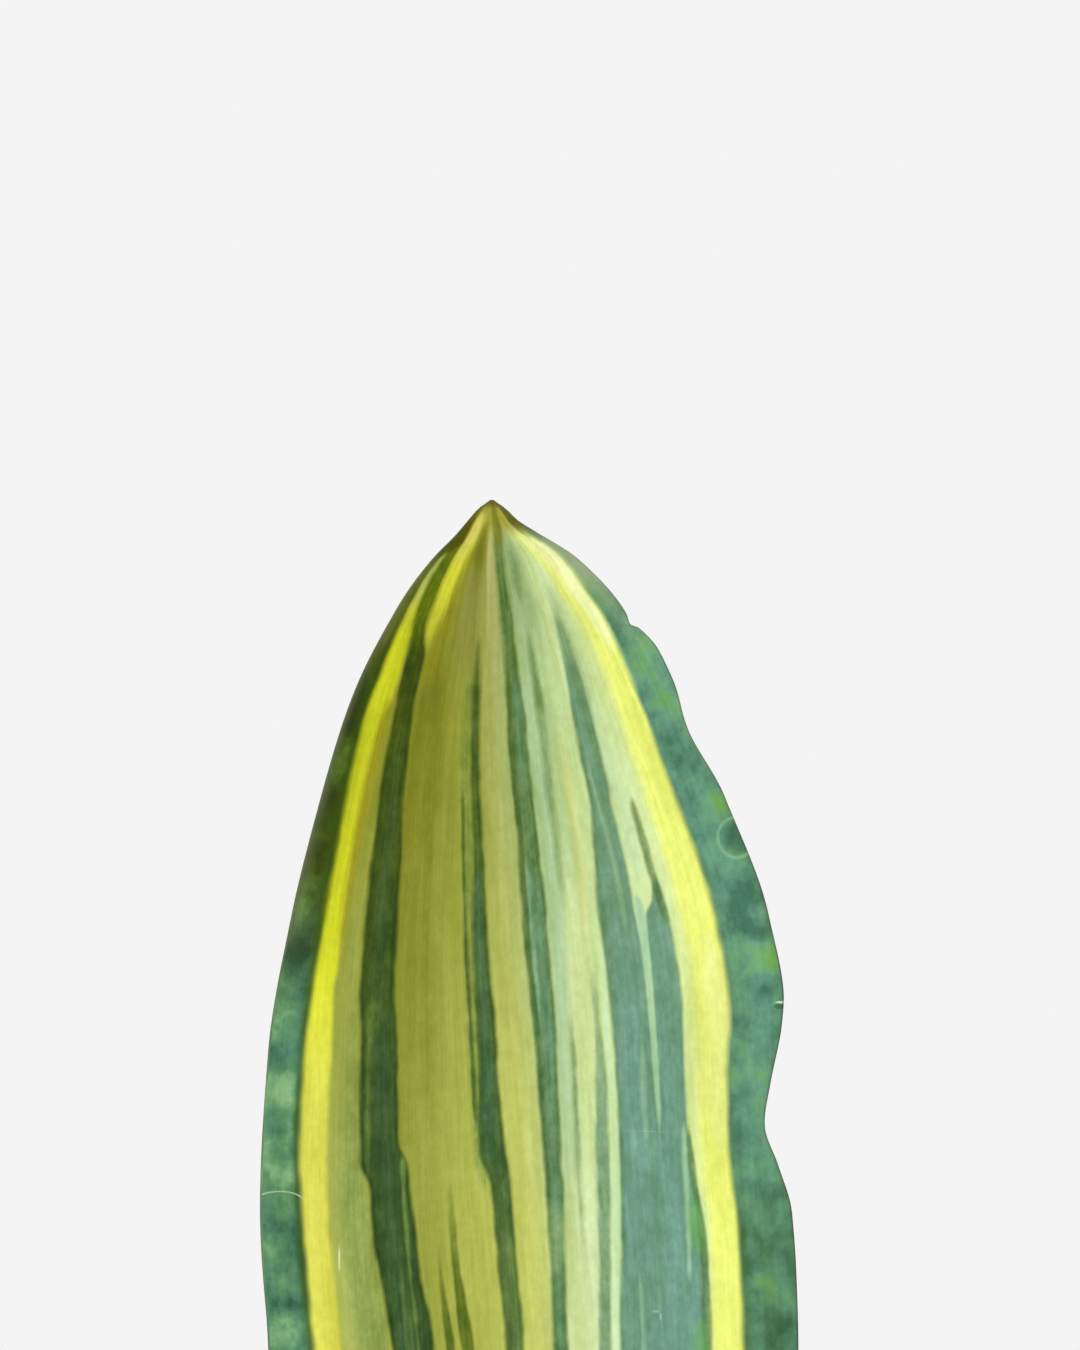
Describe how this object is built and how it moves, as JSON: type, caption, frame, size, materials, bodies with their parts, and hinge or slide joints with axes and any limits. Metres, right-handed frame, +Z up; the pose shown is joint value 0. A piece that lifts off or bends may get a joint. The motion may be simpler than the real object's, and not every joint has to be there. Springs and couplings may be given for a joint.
{
  "type": "potted snake plant",
  "caption": "Potted snake plant: a very broad, upright, paddle-shaped striped leaf with a hollow face and a scalloped margin, standing in potting soil in a plain clay pot.",
  "frame": {"origin": "middle of the pot's foot, on the surface that the pot stands on", "axes": "+Z up along the pot's axis; the leaf's hollow face looks along -Y, and +X is to its right when that face is seen"},
  "size_m": [0.1792, 0.1792, 0.634],
  "materials": {
    "leaf": "waxy living leaf, green stripes on yellow-green, satin",
    "terracotta": "unglazed fired clay, matte",
    "potting_soil": "moist crumbly potting soil, matte"
  },
  "bodies": {
    "root": {"leaf": "leaf", "pot": "terracotta", "soil": "potting_soil"}
  },
  "joints": []
}
